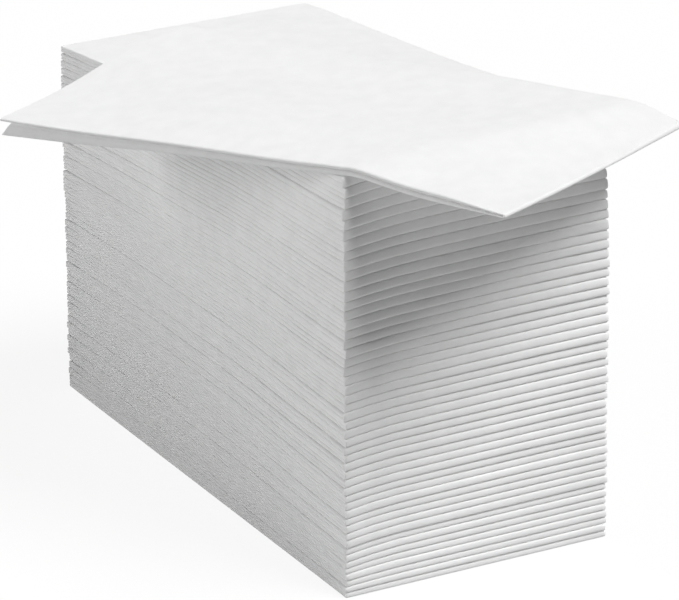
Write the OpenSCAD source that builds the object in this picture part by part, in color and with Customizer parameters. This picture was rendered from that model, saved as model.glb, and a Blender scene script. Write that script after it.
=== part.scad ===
// A pack of paper guest towels standing in one stack, with the last towel laid askew on top.
// Each towel is one soft paper sheet, folded in three across its width and then bent in half.
// The stack stands centred on the origin, its bends face +X and its long sides run along X.

/* [Folded towel] */
// Length of a folded towel, from the open end to the outside of the bend
towel_length = 216; // [190:1:230]
// Width of a folded towel, from fold to fold
towel_width = 102; // [92:1:112]
// Thickness of one layer of the paper
layer = 0.37; // [0.3:0.01:0.42]
// Clear space between two layers that lie on each other
layer_gap = 0.045; // [0.03:0.005:0.06]
// How far the free edges of the sheet stop short of the folds beside them
edge_inset = 1.4; // [0.6:0.1:5]
// Middle space between the two halves of a towel at its open end, which differs by up to half of it
open_gap = 0.335; // [0.2:0.005:0.5]

/* [Stack] */
// Number of towels that lie straight, one on the other
towels = 49; // [8:1:55]
// Space inside the bend of the lowest towel, which all the others press flat
bend_gap_low = 0.06; // [0.04:0.01:0.5]
// Space inside the bend of the highest straight towel, which is still full
bend_gap_high = 1.48; // [0.5:0.01:2]
// Clear space between a towel and the one that it lies on
seat = 0.02; // [0.01:0.005:0.05]
// Furthest that a towel lies out of line with the others
stray = 0.25; // [0:0.05:0.8]
// Furthest that a towel is turned out of line, in degrees
stray_turn = 0.15; // [0:0.05:0.4]
// Choice of one arrangement of the small offsets
arrangement = 5; // [1:1:40]

/* [Top towel] */
// Clear space between the top towel and the one that it lies on
top_seat = 0.12; // [0.1:0.01:0.3]
// Distance from the middle of the stack to the middle of the top towel, towards the bends
top_forward = 47; // [0:1:60]
// Distance from the middle of the stack to the middle of the top towel, towards the near side
top_aside = 20.5; // [0:0.5:30]
// Turn of the top towel against the stack, in degrees
top_turn = 23.6; // [5:0.1:40]
// Height by which the folds of its lower half stand open at the open end
top_spring = 3.8; // [0.5:0.1:6]
// Space inside the bend of the top towel, which lies flat under its own stiff folds
top_bend_gap = 0.3; // [0.1:0.01:1.5]
// Fall of the paper past the bends of the stack, for each millimetre that hangs over
fall_end = 0.23; // [0:0.01:0.25]
// Fall of the paper past a long side of the stack, for each millimetre that hangs over
fall_side = 0.17; // [0:0.01:0.25]
// Further fall of the stiff bend of the top towel past the corner of the stack
fall_bend = 0.5; // [0:0.1:4]
// Overhang that the stiff folded paper bears before it begins to fall
hold = 8; // [6:0.5:15]
// Overhang over which the fall grows to its full slope
soften = 6; // [4:0.5:20]

/* [Hidden] */
half = 3 * layer + 2 * layer_gap;
tucked = 2 * layer + layer_gap;
fold_radius = half / 2;
tuck_radius = tucked / 2;
near = fold_radius - towel_width / 2;
far = towel_width / 2 - tuck_radius;
free_edge = towel_width / 2 - edge_inset;
paper = "#F4F4F2";

// Wedge angles come in steps that have cosines of whole millionths, so that faces at a bend meet exactly
wedge_step = 0.081;
spring_curve = 2.3;
cells_along = 16;
cells_across = 8;
cells_bend = 6;
cells_fold = 5;
cells_tuck = 3;

// Sizes of the bend of towel k, counted from the bottom: the weight above it presses it flat
function bend_share(k) = (k - 1) / (towels - 1);
function pressed_gap(k) =
    round(100 * (bend_gap_low + (bend_gap_high - bend_gap_low) * bend_share(k))) / 100;
function bend_gap(k) = k > towels ? top_bend_gap : pressed_gap(k);
function bend_radius(k) = half + bend_gap(k) / 2;
function straight(k) = towel_length - bend_radius(k);

// Angle between the two halves of towel k: the step nearest to what the gap at its open end asks for
function wedge(k) = wedge_step * round(atan((bend_gap(k) - open_gap) / straight(k)) / wedge_step);

// Height of towel k at its open end
function open_height(k) = 2 * bend_radius(k) - straight(k) * tan(wedge(k));

// Place of towel k's open end along X that keeps the outsides of all bends in one upright plane
function open_x(k, tilt) =
    towel_length / 2 - bend_radius(k) - straight(k) * cos(tilt) + bend_radius(k) * sin(tilt);

// Frame of the towel on towel k, as X and Z of its lowest open corner and the tilt of its bottom face
function frame_above(k, frame) =
    let (rise = open_height(k) + seat)
    let (tilt = frame[2] + wedge(k))
    let (x = open_x(k + 1, tilt))
    [x, frame[1] + rise * cos(frame[2]) + (x - frame[0] + rise * sin(frame[2])) * tan(tilt), tilt];

// Frames of all the straight towels and of the top towel, each lying on the one before
frames = [for (k = 1, f = [open_x(1, 0), 0, 0]; k <= towels + 1; f = frame_above(k, f), k = k + 1) f];

offsets = rands(-1, 1, 3 * towels, arrangement);
function stacked_name(k) = str("towel_", k < 10 ? "0" : "", k);

// A strip across the towel, from one side to the other between two heights
module strip(from, to, low, high) {
    translate([from, low]) square([to - from, high - low]);
}

// A round end at one side, for the outside or the inside of a fold
module round_end(side, height, radius) {
    translate([side, height]) circle(r = radius, $fn = 64);
}

// Outside of the sheet folded in three: the outer fold at the near side, the tucked fold at the far side
module fold_outside() {
    strip(near, far, 0, tucked);
    strip(near, free_edge, layer, half);
    round_end(near, fold_radius, fold_radius);
    round_end(far, tuck_radius, tuck_radius);
}

// Clear space inside the folded sheet: round the tucked free edge, and between the layers
module fold_inside() {
    round_end(near, fold_radius, fold_radius - layer);
    strip(near, near + edge_inset, layer, half - layer);
    strip(near, far, layer, layer + layer_gap);
    round_end(far, tuck_radius, layer_gap / 2);
    strip(near, towel_width, tucked, tucked + layer_gap);
}

// The sheet folded in three, seen along the towel
module letter_fold() {
    difference() {
        fold_outside();
        fold_inside();
    }
}

// The lower half of towel k, from the open end at the origin to where the bend begins
module lower_half(k) {
    rotate([90, 0, 90]) linear_extrude(height = straight(k)) letter_fold();
}

// The bend that carries all three layers of towel k round into its upper half
module bend(k) {
    rotate([-90, 0, 0])
        rotate_extrude(angle = 180 + wedge(k), start = -90 - wedge(k), $fn = 64)
            translate([bend_radius(k), 0]) rotate(90) letter_fold();
}

// Towel k by itself, with its open end at the origin
module folded_towel(k) {
    lower_half(k);
    translate([straight(k), 0, bend_radius(k)]) {
        bend(k);
        rotate([0, -wedge(k), 0])
            mirror([0, 0, 1])
                translate([-straight(k), 0, -bend_radius(k)]) lower_half(k);
    }
}

// Puts what it holds in the frame of towel k
module in_frame(k) {
    frame = frames[k - 1];
    translate([frame[0], 0, frame[1]]) rotate([0, -frame[2], 0]) children();
}

// Towel k in its place in the stack, a little out of line unless it is the lowest
module stacked_towel(k) {
    loose = k == 1 ? 0 : 1;
    aside = loose * stray * offsets[3 * k - 2];
    forward = loose * stray * offsets[3 * k - 3];
    turn = loose * stray_turn * offsets[3 * k - 1];
    in_frame(k)
        translate([forward + towel_length / 2, aside, 0])
            rotate([0, 0, turn])
                translate([-towel_length / 2, 0, 0]) folded_towel(k);
}

// Place of the top towel and of the stack's corner, measured along the tilted top of the stack
top = towels + 1;
top_frame = frames[towels];
top_u = (top_forward - top_frame[0]) / cos(top_frame[2]);
corner_u = (towel_length / 2 - top_frame[0]) / cos(top_frame[2]) - top_u;
corner_y = towel_width / 2 + top_aside;
corner_s = corner_u * cos(top_turn) + corner_y * sin(top_turn);

// Fall past an edge that supports the paper: none at first, then a steady slope
function ease(over) = over > 0 ? sqrt(over * over + soften * soften) - soften : 0;

// Fall of the top towel at a place s along it and t across it, both from its middle
function fall(s, t) =
    let (over_end = s * cos(top_turn) - t * sin(top_turn) - corner_u - hold)
    let (aside = s * sin(top_turn) + t * cos(top_turn) - top_aside)
    let (over_side = abs(aside) - towel_width / 2 - hold)
    let (past = max(0, s - corner_s) / max(1, towel_length / 2 - corner_s))
    fall_end * ease(over_end) + fall_side * ease(over_side) + fall_bend * past * past;

// Places across a towel at which the falling paper is bent
function across(i) = near + (far - near) * i / cells_across;

// Points round half a fold, as side, height and the share of the spring that lifts them
function round_points(side, height, radius, from, steps, first, last) =
    [for (j = [1:steps - 1])
        let (a = from + 180 * j / steps)
        [side + radius * cos(a), height + radius * sin(a), first + (last - first) * j / steps]];

// One face of the folded sheet, from its upper free edge to its tucked one
function sheet_face(inset) =
    concat(
        [[free_edge, half - inset, 1]],
        [for (i = [cells_across - 1:-1:0]) [across(i), half - inset, 1]],
        round_points(near, fold_radius, fold_radius - inset, 90, cells_fold, 1, 0),
        [for (i = [0:cells_across]) [across(i), inset, 0]],
        round_points(far, tuck_radius, tuck_radius - inset, 270, cells_tuck, 0, 0.5),
        [for (i = [cells_across:-1:1]) [across(i), tucked - inset, 0.5]],
        [[near + edge_inset, tucked - inset, 0.5]]);

// The closed outline of the folded sheet: its outer face, then its inner face backwards
function sheet_outline() =
    let (inner = sheet_face(layer))
    concat(sheet_face(0), [for (i = [len(inner) - 1:-1:0]) inner[i]]);

// Stations along the towel: distance from the open end and angle round the bend
function stations() =
    concat(
        [for (i = [0:cells_along]) [straight(top) * i / cells_along, 0]],
        [for (i = [1:cells_bend - 1]) [straight(top), 180 * i / cells_bend]],
        [for (i = [cells_along:-1:0]) [straight(top) * i / cells_along, 180]]);

// Lift of the upper half over the lower half's open folds, at a distance from the open end
function spring(from_open) = top_spring * pow(max(0, 1 - from_open / straight(top)), spring_curve);

// A point of the outline at a station: along and across the top towel from its middle, and its height
function draped(station, point) =
    let (inwards = bend_radius(top) - point[1])
    let (s = station[0] + inwards * sin(station[1]) - towel_length / 2)
    let (lift = spring(station[0]) * (station[1] == 180 ? 1 : point[2]))
    let (height = bend_radius(top) - inwards * cos(station[1]) + lift)
    let (falls = [for (i = [0:cells_across]) [across(i), fall(s, across(i))]])
    [s, point[0], height - lookup(point[0], falls)];

// Four corners as two triangles that meet on one diagonal or on the other
function cell(a, b, c, d, flip) = flip ? [[a, c, b], [a, d, c]] : [[a, d, b], [b, d, c]];

// The last towel, laid askew: it follows the top of the stack and falls past its edges
module top_towel() {
    outline = sheet_outline();
    way = stations();
    m = len(outline);
    n = len(way);
    points = [for (station = way) for (point = outline) draped(station, point)];
    sides = [for (j = [0:n - 2]) for (i = [0:m - 1])
        let (k = (i + 1) % m)
        let (flip = (outline[k][0] < outline[i][0]) != (way[j][1] > 90))
        for (f = cell(j * m + i, j * m + k, (j + 1) * m + k, (j + 1) * m + i, flip)) f];
    first = [for (i = [0:m / 2 - 2]) [i, i + 1, m - 2 - i, m - 1 - i]];
    last = [for (f = first) [for (i = [3:-1:0]) f[i] + (n - 1) * m]];
    in_frame(top)
        translate([top_u, -top_aside, top_seat - seat])
            rotate([0, 0, top_turn]) polyhedron(points, concat(sides, first, last));
}

for (k = [1:towels])
    color(paper) stacked_towel(k);
color(paper) top_towel();
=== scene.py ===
"""A stack of folded paper guest towels: every towel is one soft folded sheet, in plain studio light."""

import logging
import math
from abc import ABC, abstractmethod
from dataclasses import dataclass, field
from enum import Enum

import bpy
import numpy as np
from mathutils import Matrix, Vector


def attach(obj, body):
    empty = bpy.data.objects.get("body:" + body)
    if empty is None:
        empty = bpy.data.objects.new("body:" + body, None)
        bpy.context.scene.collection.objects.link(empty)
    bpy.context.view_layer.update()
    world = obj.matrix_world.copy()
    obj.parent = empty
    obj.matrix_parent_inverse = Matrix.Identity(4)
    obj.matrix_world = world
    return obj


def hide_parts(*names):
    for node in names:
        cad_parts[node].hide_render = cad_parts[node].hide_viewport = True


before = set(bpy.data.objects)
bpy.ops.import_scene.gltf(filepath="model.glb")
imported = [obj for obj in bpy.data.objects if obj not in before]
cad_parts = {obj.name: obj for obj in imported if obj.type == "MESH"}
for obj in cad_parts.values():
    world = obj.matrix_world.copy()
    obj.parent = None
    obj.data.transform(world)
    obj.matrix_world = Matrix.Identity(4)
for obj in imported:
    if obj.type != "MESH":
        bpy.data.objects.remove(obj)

LOG = logging.getLogger("towels")
MM = 0.001
# Width of the picture for which the camera's focal length is given, in pixels
IMAGE_WIDTH = 679
# Edges bent more than this stay sharp
SHARP_ANGLE = math.radians(48)
# How far from its open end and from its bend a solid is measured
OPEN_BAND = 3.0 * MM
BEND_BAND = 5.0 * MM


def linear(code: str) -> tuple[float, float, float, float]:
    """Turns an sRGB colour into the linear values that shaders read.

    Args:
        code: The colour as a hex code, such as "#F4F4F2".

    Returns:
        Red, green, blue and alpha, each from 0 to 1.
    """
    parts = [int(code[i:i + 2], 16) / 255 for i in (1, 3, 5)]
    red, green, blue = (p / 12.92 if p <= 0.04045 else ((p + 0.055) / 1.055) ** 2.4 for p in parts)
    return red, green, blue, 1.0


def add_node(tree: bpy.types.NodeTree, kind: str, settings: dict | None = None,
             links: dict | None = None, **attributes: object) -> bpy.types.Node:
    """Adds one shader node.

    Args:
        tree: The node tree that takes it.
        kind: Blender's name for the kind of node.
        settings: Values by the name or number of the input socket.
        links: Output sockets by the name or number of the input that they feed.
        attributes: Properties of the node itself.

    Returns:
        The new node.
    """
    node = tree.nodes.new(kind)
    for name, value in attributes.items():
        setattr(node, name, value)
    for name, value in (settings or {}).items():
        node.inputs[name].default_value = value
    for name, source in (links or {}).items():
        tree.links.new(source, node.inputs[name])
    return node


def smooth(value: np.ndarray) -> np.ndarray:
    """A step from 0 to 1 with level ends: 3v squared less 2v cubed, for v held between 0 and 1."""
    held = np.clip(value, 0.0, 1.0)
    return held * held * (3.0 - 2.0 * held)


def quarter(value: np.ndarray) -> np.ndarray:
    """How far a quarter circle has fallen: 1 less the root of 1 less v squared, for v from 0 to almost 1."""
    return 1.0 - np.sqrt(1.0 - np.clip(value, 0.0, 0.999) ** 2)


def rounded(angle: np.ndarray, fullness: float) -> tuple[np.ndarray, np.ndarray]:
    """A point of a superellipse: the sine and the cosine of the angle, each to a power, sign kept.

    Args:
        angle: Angles in radians.
        fullness: The power: 1 is a circle, and less is fuller and flatter.

    Returns:
        The powers of the sine and the cosine.
    """
    sine, cosine = np.sin(angle), np.cos(angle)
    return (np.sign(sine) * np.abs(sine) ** fullness,
            np.sign(cosine) * np.abs(cosine) ** fullness)


class Side(Enum):
    """The two long sides of a folded towel."""

    NEAR = -1
    FAR = 1


@dataclass(frozen=True)
class AirlaidPaper:
    """White airlaid paper: wood fluff blown onto a belt and bonded, so it is soft, matt and cloudy.

    Its fibres are 0.03 mm thick, too fine to show, so they are drawn as a grain of about 0.5 mm.
    The fluff lies a little thicker and thinner in clouds of about 7 mm. It has hardly any gloss,
    and the loose fibres give it a faint sheen at a glancing angle.
    """

    name: str = "airlaid_paper"
    thick_tone: str = "#F7F7F7"
    thin_tone: str = "#F3F3F3"
    roughness: float = 0.93
    ior: float = 1.46
    specular: float = 0.25
    sheen: float = 0.12
    sheen_roughness: float = 0.6
    grain: float = 0.5 * MM
    cloud: float = 7.0 * MM
    grain_height: float = 0.09 * MM
    cloud_height: float = 0.05 * MM
    bump: float = 0.6
    grain_share: float = 0.35
    thin_point: float = 0.45
    thick_point: float = 0.85

    def make(self) -> bpy.types.Material:
        """Builds the material's nodes.

        Returns:
            The material.
        """
        material = bpy.data.materials.new(self.name)
        material.use_nodes = True
        tree = material.node_tree
        tree.nodes.clear()
        place = add_node(tree, "ShaderNodeTexCoord").outputs["Object"]
        clouds = add_node(tree, "ShaderNodeTexNoise",
                          {"Scale": 1.0 / self.cloud, "Detail": 2.0, "Roughness": 0.5}, {"Vector": place})
        grain = add_node(tree, "ShaderNodeTexNoise",
                         {"Scale": 1.0 / self.grain, "Detail": 2.0, "Roughness": 0.6}, {"Vector": place})
        blend = add_node(tree, "ShaderNodeMath", {1: self.grain_share}, {0: grain.outputs["Fac"]},
                         operation="MULTIPLY")
        cover = add_node(tree, "ShaderNodeMath", {}, {0: clouds.outputs["Fac"], 1: blend.outputs[0]},
                         operation="ADD")
        ramp = add_node(tree, "ShaderNodeValToRGB", {}, {"Fac": cover.outputs[0]})
        ramp.color_ramp.elements[0].position = self.thin_point
        ramp.color_ramp.elements[0].color = linear(self.thin_tone)
        ramp.color_ramp.elements[1].position = self.thick_point
        ramp.color_ramp.elements[1].color = linear(self.thick_tone)
        soft = add_node(tree, "ShaderNodeBump", {"Strength": self.bump, "Distance": self.cloud_height},
                        {"Height": clouds.outputs["Fac"]})
        rough = add_node(tree, "ShaderNodeBump", {"Strength": self.bump, "Distance": self.grain_height},
                         {"Height": grain.outputs["Fac"], "Normal": soft.outputs["Normal"]})
        shader = add_node(tree, "ShaderNodeBsdfPrincipled",
                          {"Roughness": self.roughness, "IOR": self.ior,
                           "Specular IOR Level": self.specular, "Sheen Weight": self.sheen,
                           "Sheen Roughness": self.sheen_roughness},
                          {"Base Color": ramp.outputs["Color"], "Normal": rough.outputs["Normal"]})
        add_node(tree, "ShaderNodeOutputMaterial", {}, {"Surface": shader.outputs["BSDF"]})
        return material


@dataclass(frozen=True)
class StudioFloor:
    """A seamless sheet of white background paper, lit evenly, that keeps a faint shadow.

    It throws less light back at the object than it shows, as a floor does where dark screens
    stand round a product.
    """

    name: str = "white_floor"
    seen_tone: str = "#FCFCFC"
    thrown_tone: str = "#C2C2C2"
    glow: float = 0.90

    def make(self) -> bpy.types.Material:
        """Builds the material: mostly plain white where it is seen, and plain diffuse for all else.

        Returns:
            The material.
        """
        material = bpy.data.materials.new(self.name)
        material.use_nodes = True
        tree = material.node_tree
        tree.nodes.clear()
        pale = add_node(tree, "ShaderNodeBsdfDiffuse", {"Color": linear(self.seen_tone)})
        white = add_node(tree, "ShaderNodeEmission", {"Color": (1, 1, 1, 1), "Strength": 1.0})
        shown = add_node(tree, "ShaderNodeMixShader", {0: self.glow},
                         {1: pale.outputs[0], 2: white.outputs[0]})
        thrown = add_node(tree, "ShaderNodeBsdfDiffuse", {"Color": linear(self.thrown_tone)})
        both = add_node(tree, "ShaderNodeMixShader", {},
                        {0: seen_directly(tree), 1: thrown.outputs[0], 2: shown.outputs[0]})
        add_node(tree, "ShaderNodeOutputMaterial", {}, {"Surface": both.outputs[0]})
        return material


def seen_directly(tree: bpy.types.NodeTree) -> bpy.types.NodeSocket:
    """Adds the Light Path test for rays of the camera, of gloss and of transmission.

    Args:
        tree: The node tree that takes it.

    Returns:
        A socket that is 1 for those rays and 0 for the rest.
    """
    path = add_node(tree, "ShaderNodeLightPath").outputs
    gloss = add_node(tree, "ShaderNodeMath", {},
                     {0: path["Is Glossy Ray"], 1: path["Is Transmission Ray"]}, operation="MAXIMUM")
    return add_node(tree, "ShaderNodeMath", {},
                    {0: path["Is Camera Ray"], 1: gloss.outputs[0]}, operation="MAXIMUM").outputs[0]


@dataclass(frozen=True)
class LetterFold:
    """The sheet folded in three, seen along the towel, as a closed outline round the paper.

    Heights are depths into one half of the towel: 0 is its outside and 1 its inside. The outline
    starts at the free edge of the inmost layer, goes round the outer fold at the near side, the
    outer layer, the tucked fold at the far side and the tucked layer, and comes back inside. The
    paper's thickness is a depth too, and the squeezes keep its inner face clear at both folds.
    """

    width: float = 102.0 * MM
    paper: float = 0.31
    fold_depth: float = 0.42 * MM
    tuck_depth: float = 0.45 * MM
    fullness: float = 0.85
    free_inset: float = 1.6 * MM
    edge_step: float = 0.4 * MM
    near_squeeze: float = 0.6
    far_squeeze: float = 0.8
    side_steps: tuple[float, ...] = (0.0, 0.7, 1.5, 2.5, 3.8, 6.0, 10.0, 19.0, 34.0)
    fold_cells: int = 6
    tuck_cells: int = 4

    @property
    def gap(self) -> float:
        """Depth of the space between two layers."""
        return (1.0 - 3.0 * self.paper) / 2.0

    def places(self) -> np.ndarray:
        """Places across a layer from the near side to the far side, close together at both sides.

        Returns:
            Places in metres from the middle of the towel.
        """
        steps = np.array(self.side_steps) * MM
        near = -self.width / 2 + self.fold_depth + steps
        far = self.width / 2 - self.tuck_depth - steps
        return np.concatenate([near, far[::-1]])

    def turn(self, side: Side, start: float, end: float, inset: float) -> tuple[np.ndarray, np.ndarray]:
        """The round part of a fold, from one depth to another, without its ends.

        Args:
            side: The side of the towel that it is on.
            start: Depth where it starts.
            end: Depth where it ends.
            inset: How far it stays inside the fold's outer face, as a share of the fold's depth.

        Returns:
            Places across and depths.
        """
        near = side is Side.NEAR
        cells, reach = (self.fold_cells, self.fold_depth) if near else (self.tuck_cells, self.tuck_depth)
        angle = np.linspace(0.0, math.pi, cells + 1)[1:-1]
        out, up = rounded(angle, self.fullness)
        middle = side.value * (self.width / 2 - reach)
        return (middle + side.value * reach * (1.0 - inset) * out,
                (start + end) / 2 + (start - end) / 2 * up)

    def face(self, inset: float) -> tuple[np.ndarray, np.ndarray, np.ndarray]:
        """One face of the folded sheet, from the free edge of the inmost layer to the tucked edge.

        Args:
            inset: 0 for the outer face, or the paper's thickness for the inner one.

        Returns:
            Places across, depths, and the share of a spread that lifts each point.
        """
        inner = inset > 0.0
        across = self.places()
        free = across.copy()
        free[-1] = self.width / 2 - self.free_inset
        free[-2] = min(free[-2], free[-1] - self.edge_step)
        tucked = across.copy()
        tucked[0] += self.free_inset
        tucked[1] = max(tucked[1], tucked[0] + self.edge_step)
        second = 2 * self.paper + self.gap - inset
        near_t, near_d = self.turn(Side.NEAR, 1.0 - inset, inset, self.near_squeeze if inner else 0.0)
        far_t, far_d = self.turn(Side.FAR, inset, second, self.far_squeeze if inner else 0.0)
        free, tucked = np.sort(free), np.sort(tucked)
        t = np.concatenate([free[::-1], near_t, across, far_t, tucked[::-1]])
        d = np.concatenate([np.full(len(free), 1.0 - inset), near_d, np.full(len(across), inset),
                            far_d, np.full(len(tucked), second)])
        share = np.concatenate([np.ones(len(free)), np.linspace(1.0, 0.0, len(near_t) + 2)[1:-1],
                                np.zeros(len(across)), np.linspace(0.0, 0.5, len(far_t) + 2)[1:-1],
                                np.full(len(tucked), 0.5)])
        return t, d, share

    def ring(self) -> tuple[np.ndarray, np.ndarray, np.ndarray]:
        """The whole outline: the outer face, then the inner face backwards.

        Returns:
            Places across, depths and shares, all of one length.
        """
        outer, inner = self.face(0.0), self.face(self.paper)
        t, d, share = (np.concatenate([o, i[::-1]]) for o, i in zip(outer, inner))
        return t, d, share


@dataclass(frozen=True)
class Run:
    """Stations along a towel: out along the lower half, round the bend and back along the upper half."""

    bend_steps: tuple[float, ...] = (0.0, 1.2, 2.6, 4.5, 7.0, 10.0, 14.0)
    long_cells: int = 12
    bend_cells: int = 12

    def stations(self, straight: float) -> tuple[np.ndarray, np.ndarray]:
        """Works out the stations.

        Args:
            straight: Length of a half from the open end to where the bend begins.

        Returns:
            Distances from the open end, and angles round the bend from 0 to pi.
        """
        close = straight - np.array(self.bend_steps) * MM
        along = np.linspace(0.0, close[-1], self.long_cells + 1)[:-1]
        out = np.concatenate([along, close[::-1]])
        angle = np.linspace(0.0, math.pi, self.bend_cells + 1)[1:-1]
        distance = np.concatenate([out, np.full(len(angle), straight), out[::-1]])
        turned = np.concatenate([np.zeros(len(out)), angle, np.full(len(out), math.pi)])
        return distance, turned


def sweep(name: str, points: np.ndarray, material: bpy.types.Material) -> bpy.types.Object:
    """Makes a closed mesh from rings of points: quads between rings, and strips that close both ends.

    Args:
        name: Name of the piece.
        points: Array of rings by points by 3, in metres.
        material: What the piece is made of.

    Returns:
        The piece, linked to the scene, with its place in its mesh.
    """
    rings, count, _ = points.shape
    ring, point = np.meshgrid(np.arange(rings - 1), np.arange(count), indexing="ij")
    after = (point + 1) % count
    quads = np.stack([ring * count + point, ring * count + after,
                      (ring + 1) * count + after, (ring + 1) * count + point], axis=-1).reshape(-1, 4)
    i = np.arange(count // 2 - 1)
    cap = np.stack([i, count - 1 - i, count - 2 - i, i + 1], axis=-1)
    far_cap = cap[:, ::-1] + (rings - 1) * count
    faces = np.concatenate([quads, cap, far_cap]).astype(np.int32)
    flat = points.reshape(-1, 3)
    a, b, c, d = (flat[faces[:, n]] for n in range(4))
    volume = (np.einsum("ij,ij->i", a, np.cross(b, c)) + np.einsum("ij,ij->i", a, np.cross(c, d))).sum()
    if volume < 0.0:
        faces = faces[:, ::-1]
    mesh = bpy.data.meshes.new(name)
    mesh.vertices.add(len(flat))
    mesh.vertices.foreach_set("co", flat.astype(np.float32).ravel())
    mesh.loops.add(faces.size)
    mesh.loops.foreach_set("vertex_index", faces.ravel())
    mesh.polygons.add(len(faces))
    mesh.polygons.foreach_set("loop_start", np.arange(0, faces.size, 4, dtype=np.int32))
    mesh.polygons.foreach_set("use_smooth", np.ones(len(faces), dtype=bool))
    mesh.update(calc_edges=True)
    mesh.validate()
    mesh.set_sharp_from_angle(angle=SHARP_ANGLE)
    mesh.materials.append(material)
    piece = bpy.data.objects.new(name, mesh)
    bpy.context.scene.collection.objects.link(piece)
    return piece


@dataclass(frozen=True)
class Place:
    """Where a straight towel lies, read from its solid: its ends, its middle line and its heights."""

    open_x: float
    bend_x: float
    open_y: float
    bend_y: float
    open_low: float
    open_high: float
    bend_low: float
    bend_high: float

    @classmethod
    def read(cls, node: str) -> "Place":
        """Measures a solid of the frame at its open end and at its bend.

        Args:
            node: Name of the solid.

        Returns:
            The place.
        """
        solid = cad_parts[node]
        flat = np.empty(len(solid.data.vertices) * 3, dtype=np.float32)
        solid.data.vertices.foreach_get("co", flat)
        turned = np.array(solid.matrix_world)
        points = flat.reshape(-1, 3) @ turned[:3, :3].T + turned[:3, 3]
        low, high = points[:, 0].min(), points[:, 0].max()
        opened = points[points[:, 0] < low + OPEN_BAND]
        bent = points[points[:, 0] > high - BEND_BAND]
        return cls(float(low), float(high),
                   float(opened[:, 1].min() + opened[:, 1].max()) / 2,
                   float(bent[:, 1].min() + bent[:, 1].max()) / 2,
                   float(opened[:, 2].min()), float(opened[:, 2].max()),
                   float(bent[:, 2].min()), float(bent[:, 2].max()))


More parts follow.
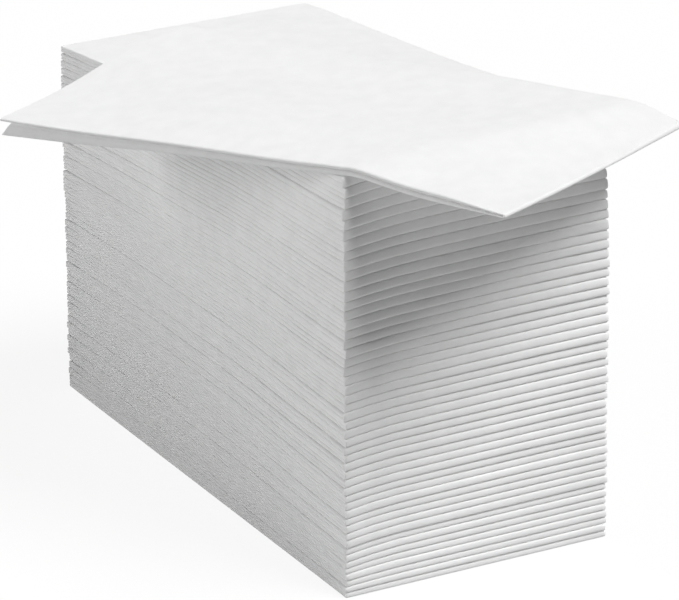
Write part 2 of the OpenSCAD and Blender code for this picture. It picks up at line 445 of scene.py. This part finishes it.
@dataclass
class Levels:
    """The surfaces at which the straight towels meet, from the floor to the top of the stack.

    Level 0 is the floor and level k is the top of towel k. Each is a plane through the heights of
    the solids at both ends, sunk and rippled a little as soft paper is. Lengths and middles given
    as shares are shares of the way from the open ends to the bends.
    """

    places: list[Place]
    seed: int = 7
    corner_sink: float = 2.4 * MM
    corner_reach: float = 45.0 * MM
    edge_sink: float = 1.8 * MM
    edge_reach: float = 25.0 * MM
    edge_start: float = 92.0 * MM
    edge_growth: float = 90.0 * MM
    side_sag: float = 0.9 * MM
    side_reach: float = 14.0 * MM
    side_middle: float = 0.45
    side_length: float = 0.22
    open_sag: float = 1.8 * MM
    open_length: float = 0.32
    ripple: float = 0.11 * MM
    long_waves: float = 2.1
    short_waves: float = 5.3
    ripple_width: float = 19.0 * MM
    slant_width: float = 31.0 * MM
    bend_jitter: float = 0.17 * MM
    jitter_width: float = 13.0 * MM
    jitter_start: float = 0.75
    firm_height: float = 14.0 * MM
    opened: np.ndarray = field(init=False)
    bent: np.ndarray = field(init=False)
    phases: np.ndarray = field(init=False)
    jitter: np.ndarray = field(init=False)

    def __post_init__(self) -> None:
        """Takes the heights of all the levels from the solids, and draws the random parts."""
        tops = np.array([(p.open_high, p.bend_high) for p in self.places])
        bottoms = np.array([(p.open_low, p.bend_low) for p in self.places])
        levels = np.concatenate([[[0.0, 0.0]], (tops[:-1] + bottoms[1:]) / 2, tops[-1:]])
        self.opened, self.bent = levels[:, 0], levels[:, 1]
        draw = np.random.default_rng(self.seed)
        count = len(levels)
        self.phases = np.cumsum(draw.normal(0.0, 0.35, (count, 4)), axis=0)
        self.jitter = draw.uniform(-1.0, 1.0, (count, 4))

    @property
    def open_x(self) -> float:
        """Middle place of the open ends."""
        return float(np.mean([p.open_x for p in self.places]))

    @property
    def bend_x(self) -> float:
        """Middle place of the bends."""
        return float(np.mean([p.bend_x for p in self.places]))

    @property
    def half_width(self) -> float:
        """Half the width of a towel, which its section gives."""
        return LetterFold().width / 2

    def height(self, level: int, x: np.ndarray, y: np.ndarray) -> np.ndarray:
        """Height of a level: a plane along X, less what it has sunk, plus ripples above the floor.

        Args:
            level: Number of the level.
            x: Places along the stack.
            y: Places across it.

        Returns:
            Heights in metres.
        """
        u = (x - self.open_x) / (self.bend_x - self.open_x)
        plane = self.opened[level] + (self.bent[level] - self.opened[level]) * u
        firm = np.clip(plane / self.firm_height, 0.0, 1.0)
        return (plane - self.edges_sunk(plane, firm, x, y) - self.sags(level, plane, u, y)
                + firm * self.ripples(level, u, y))

    def edges_sunk(self, plane: np.ndarray, firm: np.ndarray, x: np.ndarray, y: np.ndarray) -> np.ndarray:
        """Sinking at the near side of the bends.

        Round the front corner it is a bell curve of the distance from it, and it grows with the
        height. Towards the near side it grows as a square, more and more near the bends.

        Args:
            plane: Heights of the level's plane.
            firm: Share of the full softness, from 0 at the floor to 1.
            x: Places along the stack.
            y: Places across it.

        Returns:
            Depths in metres.
        """
        from_corner = np.hypot(x - self.bend_x, y + self.half_width)
        corner = plane / self.bent[-1] * np.exp(-(from_corner / self.corner_reach) ** 2)
        close = smooth((x - self.bend_x + self.edge_start) / self.edge_growth)
        last = np.clip((-self.half_width + self.edge_reach - y) / self.edge_reach, 0.0, 1.0)
        return self.corner_sink * corner + self.edge_sink * firm * close * last ** 2

    def sags(self, level: int, plane: np.ndarray, u: np.ndarray, y: np.ndarray) -> np.ndarray:
        """Sags at the far side and at the open end.

        The far side sags as a bell curve along the stack and another across it, and more with the
        height. The open end sags as a square of the nearness, most at half the height.

        Args:
            level: Number of the level.
            plane: Heights of the level's plane.
            u: Places along the stack, from 0 at the open ends to 1 at the bends.
            y: Places across it.

        Returns:
            Depths in metres.
        """
        far = np.exp(-((y - self.half_width) / self.side_reach) ** 2)
        along = np.exp(-((u - self.side_middle) / self.side_length) ** 2)
        half_way = math.sin(math.pi * level / (len(self.bent) - 1))
        opened = np.clip(1.0 - u / self.open_length, 0.0, 1.0) ** 2
        return self.side_sag * plane / self.bent[-1] * far * along + self.open_sag * half_way * opened

    def ripples(self, level: int, u: np.ndarray, y: np.ndarray) -> np.ndarray:
        """Ripples of a level: three slow sine waves, and uneven bends that one sine wave varies.

        Args:
            level: Number of the level.
            u: Places along the stack, from 0 at the open ends to 1 at the bends.
            y: Places across it.

        Returns:
            Heights in metres.
        """
        a, b, c, _ = self.phases[level]
        along = u * math.pi
        waves = (np.sin(self.long_waves * along + a) + 0.6 * np.sin(y / self.ripple_width + b)
                 + 0.5 * np.sin(self.short_waves * along + c + y / self.slant_width))
        shift, swing, phase, _ = self.jitter[level]
        bumps = shift + 0.5 * swing * np.sin(y / self.jitter_width + 3.0 * phase)
        grown = smooth((u - self.jitter_start) / (1.0 - self.jitter_start))
        return self.ripple * waves + self.bend_jitter * bumps * grown


class Towel(ABC):
    """What every towel has: the name of the solid that it stands for, its points and its piece."""

    name: str

    @abstractmethod
    def points(self) -> np.ndarray:
        """Places the folded section at every station, as an array of rings by points by 3."""

    def build(self, material: bpy.types.Material) -> bpy.types.Object:
        """Makes the piece, puts it where it rides and hides the solid that it replaces.

        Args:
            material: The paper.

        Returns:
            The piece.
        """
        piece = sweep(f"paper_{self.name}", self.points(), material)
        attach(piece, "root")
        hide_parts(self.name)
        return piece


@dataclass
class StackedTowel(Towel):
    """One straight towel between two levels: the section carried out, round the bend and back.

    The bulge is the bend's depth as a share of half its height, and the lean sets its upper part
    back, more for the higher towels. The nose is the round end of the bend at each long side. The
    space between the halves is a share of the half height, and closes near the long sides.
    """

    number: int
    place: Place
    levels: Levels
    section: LetterFold = field(default_factory=LetterFold)
    run: Run = field(default_factory=Run)
    clearance: float = 0.012 * MM
    inner_share: float = 0.15
    open_share: float = 0.03
    closing: float = 7.0 * MM
    bulge: float = 0.66
    fullness: float = 0.8
    low_lean: float = 0.1 * MM
    high_lean: float = 0.5 * MM
    far_swell: float = 1.6 * MM
    swell_fade: float = 1.0 / 3.0
    nose_drop: float = 0.9 * MM
    nose_reach: float = 2.3 * MM
    nose_length: float = 13.0 * MM
    corner_round: float = 0.5 * MM
    open_pinch: float = 0.10
    open_reach: float = 1.2 * MM
    open_round: float = 0.3 * MM
    open_round_length: float = 3.6 * MM
    pinch_below: float = 0.6

    @property
    def name(self) -> str:
        """Name of the solid that it stands for."""
        return f"towel_{self.number:02d}"

    @property
    def rank(self) -> float:
        """Place in the stack, up to 1 at the top."""
        return self.number / len(self.levels.places)

    def plan(self, distance: np.ndarray, t: np.ndarray) -> tuple[np.ndarray, np.ndarray]:
        """Places of the section's points, seen from above and before the bend carries them out.

        Args:
            distance: Distances from the open end.
            t: Places across the towel.

        Returns:
            Places along the stack and across it.
        """
        swing = (self.place.bend_y - self.place.open_y) / (self.place.bend_x - self.place.open_x)
        swell = self.far_swell * smooth((1.0 - self.rank) / self.swell_fade)
        x = self.place.open_x + distance - swing * t
        y = self.place.open_y + swing * distance + t + swell * np.maximum(t, 0.0) / (self.section.width / 2)
        return x, y

    def faces(self, x: np.ndarray, y: np.ndarray, distance: np.ndarray, straight: float,
              nose: np.ndarray) -> tuple[np.ndarray, np.ndarray]:
        """Heights of the lower and the upper face, which close in on each other at the ends.

        At the ends of the bend the upper face drops in a quarter round, and at the open end both
        faces do.

        Args:
            x: Places along the stack.
            y: Places across it.
            distance: Distances from the open end.
            straight: Distance from the open end to where the bend begins.
            nose: Quarter rounds at both long sides, from 0 to 1.

        Returns:
            Heights of the lower face and of the upper one.
        """
        low = self.levels.height(self.number - 1, x, y) + self.clearance
        high = self.levels.height(self.number, x, y) - self.clearance
        high = high - self.nose_drop * nose * smooth(1.0 - (straight - distance) / self.nose_length)
        pinch = self.open_pinch * quarter(1.0 - distance / self.open_reach) * (high - low)
        return low + pinch * self.pinch_below, high - pinch

    def points(self) -> np.ndarray:
        """Places the section at every station.

        A point at depth d lies r = 1 - d (1 - space) half heights from the towel's middle height,
        where space is how much of the half height lies open between the halves, and nothing at
        the long sides. The point lies downwards in the lower half and upwards in the upper half,
        and turns about the middle at the bend, which leans back a little towards its top.

        Returns:
            Array of rings by points by 3.
        """
        t, depth, _ = (a[None, :] for a in self.section.ring())
        reach = (self.place.bend_high - self.place.bend_low) / 2 * self.bulge
        straight = self.place.bend_x - self.place.open_x - reach
        distance, angle = (a[:, None] for a in self.run.stations(straight))
        to_side = self.section.width / 2 - np.abs(t)
        nose = quarter(1.0 - to_side / self.nose_reach)
        x, y = self.plan(distance, t)
        low, high = self.faces(x, y, distance, straight, nose)
        space = self.open_share + (self.inner_share - self.open_share) * distance / straight
        space = space * smooth(to_side / self.closing)
        radius = 1.0 - depth * (1.0 - space)
        across, up = rounded(angle, self.fullness)
        lean = self.low_lean + (self.high_lean - self.low_lean) * self.rank
        out = reach - self.corner_round * nose - lean * (1.0 - up) / 2
        x = x + self.open_round * nose * (1.0 - smooth(distance / self.open_round_length))
        x = x + radius * out * across
        z = (low + high) / 2 - radius * (high - low) / 2 * up
        return np.stack([x, y, z], axis=-1)


@dataclass(frozen=True)
class Drop:
    """How paper falls past an edge: after a soft start, towards a deepest fall."""

    deepest: float
    length: float
    soften: float

    def at(self, over: np.ndarray) -> np.ndarray:
        """The fall at a distance past the edge.

        The overhang is held as the root of its square plus the softening squared, less the
        softening. The fall is the deepest one times 1 less an exponential, which shrinks with the
        held overhang over the length.

        Args:
            over: Distances past the edge, less than 0 before it.

        Returns:
            Falls in metres.
        """
        held = np.hypot(np.maximum(over, 0.0), self.soften) - self.soften
        return self.deepest * (1.0 - np.exp(-held / self.length))


@dataclass
class TopTowel(Towel):
    """The last towel, laid askew: it lies on the stack and falls past its edges.

    Its folds lift the far side, spread the two halves at the open end, where the lower one slips
    out a little, and lie pressed at the bend. A half is as thick as its three layers together.
    """

    levels: Levels
    section: LetterFold = field(default_factory=lambda: LetterFold(
        fold_depth=0.8 * MM, fullness=0.9, fold_cells=12, tuck_cells=6,
        side_steps=(0.0, 0.4, 0.9, 1.6, 2.5, 3.8, 5.5, 8.0, 11.0, 15.0, 20.0, 26.0, 32.0, 39.0, 46.0)))
    run: Run = field(default_factory=lambda: Run(
        bend_steps=(0.0, 0.8, 1.7, 2.8, 4.2, 6.0, 8.0, 11.0, 14.5, 19.0), long_cells=46, bend_cells=16))
    name: str = "top_towel"
    length: float = 216.0 * MM
    middle_x: float = 47.0 * MM
    middle_y: float = -20.6 * MM
    turn: float = math.radians(23.6)
    seat: float = 0.05 * MM
    half: float = 1.2 * MM
    open_gap: float = 0.15 * MM
    bend_gap: float = 1.1 * MM
    press: float = 0.5
    press_length: float = 27.0 * MM
    spread: float = 3.9 * MM
    spread_power: float = 2.3
    past_bends: Drop = Drop(12.0 * MM, 33.0 * MM, 6.5 * MM)
    past_near_side: Drop = Drop(11.0 * MM, 40.0 * MM, 4.0 * MM)
    past_far_side: Drop = Drop(1.0 * MM, 30.0 * MM, 2.0 * MM)
    far_lift: float = 2.4 * MM
    far_lift_end: float = 0.5 * MM
    far_width: float = 40.0 * MM
    far_fade_start: float = 20.0 * MM
    far_fade: float = 60.0 * MM
    slip: float = 5.0 * MM
    slip_length: float = 30.0 * MM
    side_gap: float = 0.12 * MM
    closing: float = 12.0 * MM
    bend_fall: float = 0.3 * MM
    bend_fall_length: float = 16.4 * MM
    fullness: float = 0.92

    def fall(self, x: np.ndarray, y: np.ndarray) -> np.ndarray:
        """How far the paper has fallen at a place: the sum of the falls past three edges of the stack.

        Args:
            x: Places along the stack.
            y: Places across it.

        Returns:
            Falls in metres.
        """
        half = self.levels.half_width
        return (self.past_bends.at(x - self.levels.bend_x) + self.past_near_side.at(-y - half)
                + self.past_far_side.at(y - half))

    def puff(self, s: np.ndarray, t: np.ndarray) -> np.ndarray:
        """How much the far side, with its free and tucked edges, stands thicker than the rest.

        Args:
            s: Places along the towel from its middle.
            t: Places across it from its middle.

        Returns:
            Lifts of the upper half in metres.
        """
        fade = smooth((s - self.far_fade_start) / self.far_fade)
        most = self.far_lift + (self.far_lift_end - self.far_lift) * fade
        return most * smooth((t - self.section.width / 2 + self.far_width) / self.far_width)

    def points(self) -> np.ndarray:
        """Places the section at every station of the draped towel.

        The two halves are thinner where the bend is pressed. The space between them opens from
        the long sides inwards and towards the bend, and its upper half springs up at the open end.

        Returns:
            Array of rings by points by 3.
        """
        t, depth, share = (a[None, :] for a in self.section.ring())
        straight = self.length - (self.half + self.bend_gap / 2) * (1.0 - self.press)
        distance, angle = (a[:, None] for a in self.run.stations(straight))
        u = distance / straight
        pressed = 1.0 - self.press * smooth(1.0 - (straight - distance) / self.press_length)
        full = (self.open_gap + (self.bend_gap - self.open_gap) * u) * pressed
        inside = smooth((self.section.width / 2 - np.abs(t)) / self.closing)
        gap = self.side_gap * pressed + (full - self.side_gap * pressed) * inside
        half = self.half * pressed + (full - gap) / 2
        radius = gap / 2 + (1.0 - depth) * half
        across, up = rounded(angle, self.fullness)
        upper = angle > 0.0
        slip = self.slip * share * ~upper * smooth(1.0 - distance / self.slip_length)
        s = distance + slip + radius * across - self.length / 2
        x = self.middle_x + s * math.cos(self.turn) - t * math.sin(self.turn)
        y = self.middle_y + s * math.sin(self.turn) + t * math.cos(self.turn)
        spread = self.spread * (1.0 - u) ** self.spread_power * np.where(upper, 1.0, share)
        lift = spread + self.puff(s, t) * (1.0 - up) / 2
        last = np.clip((s - self.length / 2 + self.bend_fall_length) / self.bend_fall_length, 0.0, 1.0)
        top_of_stack = self.levels.height(len(self.levels.places), x, y)
        rest = top_of_stack + self.seat - self.fall(x, y) - self.bend_fall * last ** 2
        z = rest + half + gap / 2 - radius * up + lift
        return np.stack([x, y, z], axis=-1)


@dataclass
class TowelStack:
    """All the towels of the pack, from the one on the floor to the one laid askew."""

    paper: AirlaidPaper = field(default_factory=AirlaidPaper)

    def build(self) -> list[bpy.types.Object]:
        """Builds every towel and reports it.

        Returns:
            The pieces from the bottom up.
        """
        material = self.paper.make()
        straight = sorted(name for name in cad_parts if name.startswith("towel_"))
        places = [Place.read(name) for name in straight]
        levels = Levels(places)
        towels: list[Towel] = [
            StackedTowel(number, place, levels) for number, place in enumerate(places, start=1)]
        towels.append(TopTowel(levels))
        pieces: list[bpy.types.Object] = []
        for towel in towels:
            piece = towel.build(material)
            LOG.info("%s: %d faces", piece.name, len(piece.data.polygons))
            pieces.append(piece)
        return pieces


@dataclass(frozen=True)
class Camera:
    """The camera that a fit of the stack's corners gives, far off and with a long lens."""

    place: tuple[float, float, float] = (1.42156, -0.77001, 0.70314)
    yaw: float = math.radians(-61.37)
    pitch: float = math.radians(21.63)
    roll: float = math.radians(-0.40)
    focus: float = 4857.1
    sensor: float = 36.0

    def make(self) -> bpy.types.Object:
        """Sets up the camera from its place, yaw, pitch and roll, and a focal length in pixels.

        Returns:
            The camera.
        """
        ahead = Vector((math.sin(self.yaw) * math.cos(self.pitch),
                        math.cos(self.yaw) * math.cos(self.pitch), -math.sin(self.pitch)))
        right = Vector((math.cos(self.yaw), -math.sin(self.yaw), 0.0))
        up = right.cross(ahead)
        turned_right = right * math.cos(self.roll) + up * math.sin(self.roll)
        turned_up = up * math.cos(self.roll) - right * math.sin(self.roll)
        data = bpy.data.cameras.new("camera")
        data.sensor_width = self.sensor
        data.lens = self.focus * self.sensor / IMAGE_WIDTH
        data.clip_end = 20.0
        camera = bpy.data.objects.new("camera", data)
        axes = Matrix((turned_right, turned_up, -ahead)).transposed()
        camera.matrix_world = Matrix.Translation(self.place) @ axes.to_4x4()
        bpy.context.scene.collection.objects.link(camera)
        bpy.context.scene.camera = camera
        return camera


@dataclass(frozen=True)
class Lamp:
    """A far lamp whose wide disc gives soft shadows."""

    name: str
    come_from: tuple[float, float, float]
    strength: float
    width: float

    def make(self) -> bpy.types.Object:
        """Puts the lamp in the scene, shining from its direction towards the object.

        Returns:
            The lamp.
        """
        data = bpy.data.lights.new(self.name, "SUN")
        data.energy = self.strength
        data.angle = self.width
        lamp = bpy.data.objects.new(self.name, data)
        lamp.rotation_euler = Vector(self.come_from).to_track_quat("Z", "Y").to_euler()
        bpy.context.scene.collection.objects.link(lamp)
        return lamp


@dataclass(frozen=True)
class Studio:
    """A white floor, a wide lamp high up past the bends, a weaker one low at the near side, and fill."""

    floor_half: float = 6.0
    lamps: tuple[Lamp, ...] = (
        Lamp("key", (0.52, 0.38, 1.0), 3.12, math.radians(28)),
        Lamp("near_side", (-0.45, -1.0, 0.34), 1.30, math.radians(45)))
    fill: float = 0.03

    def floor(self) -> bpy.types.Object:
        """Makes the floor as one square.

        Returns:
            The floor.
        """
        half = self.floor_half
        mesh = bpy.data.meshes.new("floor")
        corners = [(-half, -half, 0.0), (half, -half, 0.0), (half, half, 0.0), (-half, half, 0.0)]
        mesh.from_pydata(corners, [], [(0, 1, 2, 3)])
        mesh.materials.append(StudioFloor().make())
        floor = bpy.data.objects.new("floor", mesh)
        bpy.context.scene.collection.objects.link(floor)
        return floor

    def surroundings(self) -> bpy.types.World:
        """Makes even light from all round, which is plain white where it is seen.

        Returns:
            The world.
        """
        world = bpy.data.worlds.new("studio")
        bpy.context.scene.world = world
        world.use_nodes = True
        tree = world.node_tree
        tree.nodes.clear()
        seen = seen_directly(tree)
        strength = add_node(tree, "ShaderNodeMapRange",
                            {"From Min": 0.0, "From Max": 1.0, "To Min": self.fill, "To Max": 1.0},
                            {"Value": seen})
        light = add_node(tree, "ShaderNodeBackground", {"Color": (1, 1, 1, 1)},
                         {"Strength": strength.outputs["Result"]})
        add_node(tree, "ShaderNodeOutputWorld", {}, {"Surface": light.outputs["Background"]})
        return world

    def make(self) -> None:
        """Puts the floor, the lamps and the light all round in the scene."""
        self.floor()
        for lamp in self.lamps:
            lamp.make()
        self.surroundings()


def main() -> None:
    """Builds the camera, the light and the towels in order."""
    logging.basicConfig(level=logging.INFO, format="%(message)s")
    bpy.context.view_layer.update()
    bpy.context.scene.view_settings.view_transform = "Standard"
    Camera().make()
    Studio().make()
    pieces = TowelStack().build()
    LOG.info("%d towels", len(pieces))


if __name__ == "__main__":
    main()
